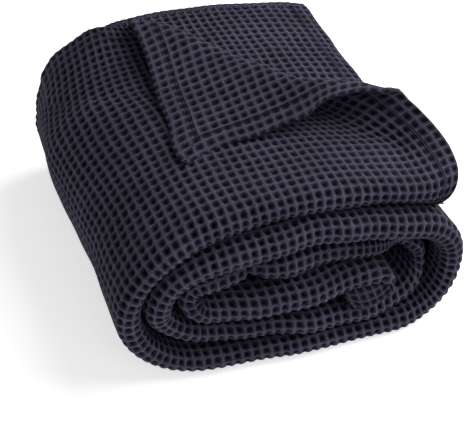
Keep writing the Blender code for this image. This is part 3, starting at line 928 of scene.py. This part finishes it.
# Each ply ends at the back in two folds and a row of hems, as four layers do.
backForm = {
    # depth from the outer side in a ply 30 mm thick, and how far it stands out
    "profile": ((0, 0), (1.6, 2.4), (4, 3.0), (6.2, 1.4), (7, -5), (7.6, -5), (8.6, 1.2), (11, 2.4),
                (13.2, 1.0), (14, -6), (14.8, -6), (16, 1.5), (19, 5.5), (23, 6.5), (27, 4),
                (29.2, -2), (30, -10)),
    "profileHalf": 15,
    "tuck": (1.2, -3.0),            # where a row starts lower, its first edge is tucked in
    "shift": 0.4, "relief": (0.3, 0.5), "notch": (4, 3),
    "waveCells": 12.0, "waveShare": 0.25, "waveOut": 1.5,
}


def backEnds(name, uRange, firstRow, offsets):
    form = backForm
    profile = np.array(form["profile"], float)[firstRow:]
    if firstRow:
        profile = np.concatenate([((profile[0, 0] + form["tuck"][0], form["tuck"][1]),), profile])
    lengths = runLengths(profile)
    u = samples(*uRange, offsets)
    v = samples(0, lengths[-1] / cloth["cellWide"], offsets)
    v = np.union1d(v, lengths[1:-1] / cloth["cellWide"])
    at = curveAt(v * cloth["cellWide"], lengths, profile)
    slope = np.gradient(at, v, axis=0)
    slope /= np.linalg.norm(slope, axis=1)[:, None]
    gridU, gridV = np.meshgrid(u, v, indexing="ij")
    driftU, driftV = drifted(gridU, gridV)
    depth, standsOut = at[None, :, 0], at[None, :, 1]
    outOfNotch = smoothStep((standsOut + form["notch"][0]) / form["notch"][1])
    relief, pocket = cellRelief(driftU, driftV - form["shift"],
                                form["relief"][0] + form["relief"][1] * outOfNotch)
    row = bandAt(gridU)
    waves = waveSum(gridU, gridV, seeds["back"], form["waveCells"])
    out = row["half"] * (1 - depth / form["profileHalf"]) + slope[None, :, 1] * relief
    y = (row["back"] + cloth["backEdge"] + standsOut * (1 + form["waveShare"] * waves)
         + form["waveOut"] * waves + slope[None, :, 0] * relief)
    points = shaped(row["x"] + row["nx"] * out, y, row["z"] + row["nz"] * out)
    points[..., 2] = np.maximum(points[..., 2], cloth["lowest"])
    piece = addGrid(name, points, np.stack([driftU, driftV], -1), pocket, flip=True)
    finishPiece(piece)


# The loose end's lower layers, a stack of hems under the second layer's.
endForm = {
    # depth from the outer side in a ply 30 mm thick, and how far each stands out
    "profile": ((4.6, -8), (4.8, -1), (5.6, 1.5), (7.6, 2.4), (9.6, 1.5), (10.4, -1), (10.8, -6),
                (11.2, -6), (11.5, -2), (12.2, 0), (13.4, 0.8), (14.6, 0), (15.0, -3)),
    "profileHalf": 15, "rows": 26, "innermost": 0.4,
    "waveCells": 9.0, "waveShare": 0.2, "waveOut": 2.5,
    "scallop": 0.35,                # the weave's edge, mm
    "start": 0.3, "stepBack": 0.06,         # the deeper layers end a little further in
    # the whole stack gets this much of the pockets' painted shade, evenly
    "mapShift": 0.4, "pocket": 0.35, "crestShare": 0.6,
}


def makeEndHems():
    form = endForm
    wide, long = cloth["cellWide"], cloth["cellLong"]
    profile = np.array(form["profile"], float)
    lengths = runLengths(profile)
    steps = np.union1d(np.linspace(0, lengths[-1], form["rows"]), lengths)
    depth, standsOut = (np.interp(steps, lengths, profile[:, k])[:, None] for k in range(2))
    row = bandAt(np.zeros(1))
    half = float(row["half"][0])
    flatLength = float(row["back"][0] + cloth["backEdge"] - row["front"][0])
    crestLength = math.pi * half
    along = samples(-flatLength / wide, (flatLength + crestLength) / wide)[None, :] * wide
    inset = np.clip(depth * half / form["profileHalf"], 0, half - form["innermost"])
    # the inner layers turn round the crest on a smaller bend
    reach = np.minimum(along, 0) + np.clip(along / half, 0, math.pi) * (half - inset)
    reach = np.where(along > crestLength, along - crestLength + math.pi * (half - inset), reach)
    waves = waveSum(along / wide, np.zeros((1, 1)), seeds["endHems"], form["waveCells"])
    sideways = -(standsOut * (1 + form["waveShare"] * waves) - form["waveOut"] * waves) / long
    scallop = form["scallop"] * np.cos(2 * math.pi * along / wide) / long
    points = crestPoint(sideways + scallop + form["start"] + form["stepBack"] * inset, reach, inset, 0.0)
    cells = np.stack(np.broadcast_arrays(steps[:, None] / long + form["mapShift"], along / wide), -1)
    pocket = np.full(points.shape[:2], form["pocket"])
    piece = addGrid("end_hems", points, cells, pocket, flip=True)
    finishPiece(piece)


# The inner end's hem, a small leaf of cloth that shows inside the curled end.
innerHem = {
    "from": (33, 71), "to": (93, 65),       # x and z of its upper edge's ends,
    "arch": 4,                              # which rises between them
    "drop": 20, "y": -33, "forward": 15, "bulge": 4, "ends": 6, "lean": 4,
    "cells": (6, 3), "stitch": 2.3, "stitchWide": 0.06, "stitchRows": (2.1, 2.5, 0.05),
    # painted shade over the whole leaf, deep in the curled end, and more in its stitch groove
    "groove": 1.2, "relief": 0.45, "paintedShade": 0.6, "seamShade": 2,
    "cutSize": (0.068, 0.034), "area": 0.0019,
}


def makeInnerHem():
    form = innerHem
    (fromX, fromZ), (toX, toZ) = form["from"], form["to"]
    s = samples(0, form["cells"][0])
    t = np.union1d(samples(0, form["cells"][1]), np.arange(*form["stitchRows"]))
    gridS, gridT = np.meshgrid(s, t, indexing="ij")
    along, down = gridS / form["cells"][0], gridT / form["cells"][1]
    width = np.sin(math.pi * np.clip(along, 0.02, 0.98) ** 0.75) ** 0.7
    relief, pocket = cellRelief(gridS + 0.5, gridT, form["relief"])
    stitches = np.exp(-((gridT - form["stitch"]) / form["stitchWide"]) ** 2)
    x = fromX + (toX - fromX) * along + form["lean"] * down * width
    z = fromZ + (toZ - fromZ) * along + form["arch"] * np.sin(math.pi * along)
    z = z - form["drop"] * down * width
    y = form["y"] - form["bulge"] * np.sin(math.pi * down * 0.8) * width + form["ends"] * (1 - width)
    y = y - relief + form["groove"] * stitches - form["forward"] * down
    # painted shade over the whole leaf, and more along its stitches
    pocket = pocket + form["paintedShade"] + form["seamShade"] * stitches
    piece = addGrid("inner_hem", np.stack([x, y, z], axis=-1), np.stack([gridS + 0.5, gridT], -1), pocket,
                    flip=True)
    finishPiece(piece)


# Where one piece of the cloth runs on into the next, in cells and in mm over the crest.
joins = {
    "underRoll": 70,                # from the left side and underside to the right side
    "pastApex": 12,                 # from there to the inner coils, cells past the right side's apex,
    "apexWithin": (300, 1100),      # which is this far along the band
    "pastEnd": 1.9,                 # cells that the rounded inner end takes
    "coils": (-30, 78),
    # the core's linings are darkened with painted shade
    "core": (150, 170), "coreInner": (-130, -28), "coreOuter": (64, 150), "corePaintedShade": 0.7,
    "innerEnd": 206,
    "backFrom": 0.7, "backSwap": 40, "tuckedRows": 2,
}


def makeRoll():
    low, high = joins["apexWithin"]
    apex = np.argmax(winding["x"] * (winding["at"] > low) * (winding["at"] < high))
    coilStart = winding["cells"][apex] + joins["pastApex"]
    coilEnd = lastCell + joins["pastEnd"]
    underRoll, across = joins["underRoll"], topLayer["across"]
    wrapPiece("left_and_under", (topLayer["cells"], underRoll), (0, across))
    wrapPiece("right_side", (underRoll, coilStart), (0, across))
    crestStrip("inner_coils", (coilStart, coilEnd), joins["coils"])
    crestStrip("core_lining", joins["core"], joins["coreInner"], liningOffsets, joins["corePaintedShade"])
    crestStrip("core_lining_inside", joins["core"], joins["coreOuter"], liningOffsets, joins["corePaintedShade"])
    crestStrip("inner_end_lining", (joins["innerEnd"], coilEnd), joins["coreInner"], liningOffsets)
    makeInnerHem()
    backEnds("back_ends_right", (joins["backFrom"], joins["backSwap"]), joins["tuckedRows"], fineOffsets)
    backEnds("back_ends", (joins["backSwap"], coilEnd), 0, backOffsets)
    makeEndHems()


print("cloth:")
makeCorner()
makeTopLayer()
makeSecondLayer()
makeRoll()


# The camera that was fitted to the photo: degrees down and to the right, pixels and millimetres.
view = {
    "elevation": 42.735, "azimuth": 22.086, "focalPixels": 1100.0, "imageWidth": 467,
    "place": (-396.07, -767.56, 968.64),
}


def makeCamera():
    camera = bpy.data.cameras.new("camera")
    camera.sensor_width = 36.0
    camera.lens = view["focalPixels"] * camera.sensor_width / view["imageWidth"]
    camera.clip_end = 50.0
    holder = bpy.data.objects.new("camera", camera)
    e, a = math.radians(view["elevation"]), math.radians(view["azimuth"])
    level = Vector((math.sin(a), math.cos(a), 0))
    look = math.cos(e) * level - Vector((0, 0, math.sin(e)))
    up = math.sin(e) * level + Vector((0, 0, math.cos(e)))
    right = look.cross(up)
    turn = Matrix((right, up, -look)).transposed()
    holder.matrix_world = Matrix.Translation(Vector(toPart(view["place"]))) @ turn.to_4x4()
    bpy.context.scene.collection.objects.link(holder)
    bpy.context.scene.camera = holder
    print("camera:", round(camera.lens, 1), "mm lens")


# Sizes and places in metres, power in watts. The floor glows a little: painted light that lifts its shadows
# and lights the cloth from below.
studio = {
    "world": 0.19,
    "floorGlow": 0.64, "floorColour": "#F4F4F4", "floorRoughness": 0.9, "floorHalf": 40,
    "target": (0, 0, 0.1),
    "key": ((1.72, 0.10, 1.55), 2.6, 68),       # place, size and power
    "front": ((0.2, -2.0, 1.7), 1.4, 6),
}


def addLight(name):
    place, size, power = studio[name]
    lamp = bpy.data.lights.new(name, "AREA")
    lamp.shape = "DISK"
    lamp.size = size
    lamp.energy = power
    holder = bpy.data.objects.new(name, lamp)
    holder.location = place
    towards = Vector(studio["target"]) - Vector(place)
    holder.rotation_euler = towards.to_track_quat("-Z", "Y").to_euler()
    bpy.context.scene.collection.objects.link(holder)


def makeStudio():
    half = studio["floorHalf"]
    mesh = bpy.data.meshes.new("floor")
    mesh.from_pydata([(-half, -half, 0), (half, -half, 0), (half, half, 0), (-half, half, 0)], [],
                     [(0, 1, 2, 3)])
    floor = bpy.data.objects.new("floor", mesh)
    bpy.context.scene.collection.objects.link(floor)
    material = bpy.data.materials.new("paperSweep")
    material.use_nodes = True
    shader = material.node_tree.nodes["Principled BSDF"]
    shader.inputs["Base Color"].default_value = linearColour(studio["floorColour"])
    shader.inputs["Roughness"].default_value = studio["floorRoughness"]
    # painted light: the floor glows
    shader.inputs["Emission Color"].default_value = (1, 1, 1, 1)
    shader.inputs["Emission Strength"].default_value = studio["floorGlow"]
    floor.data.materials.append(material)
    world = bpy.data.worlds.new("studio")
    world.use_nodes = True
    background = world.node_tree.nodes["Background"]
    background.inputs["Color"].default_value = (1, 1, 1, 1)
    background.inputs["Strength"].default_value = studio["world"]
    bpy.context.scene.world = world
    bpy.context.scene.view_settings.view_transform = "Standard"
    addLight("key")
    addLight("front")
    print("studio: floor and two lights")


makeStudio()
makeCamera()
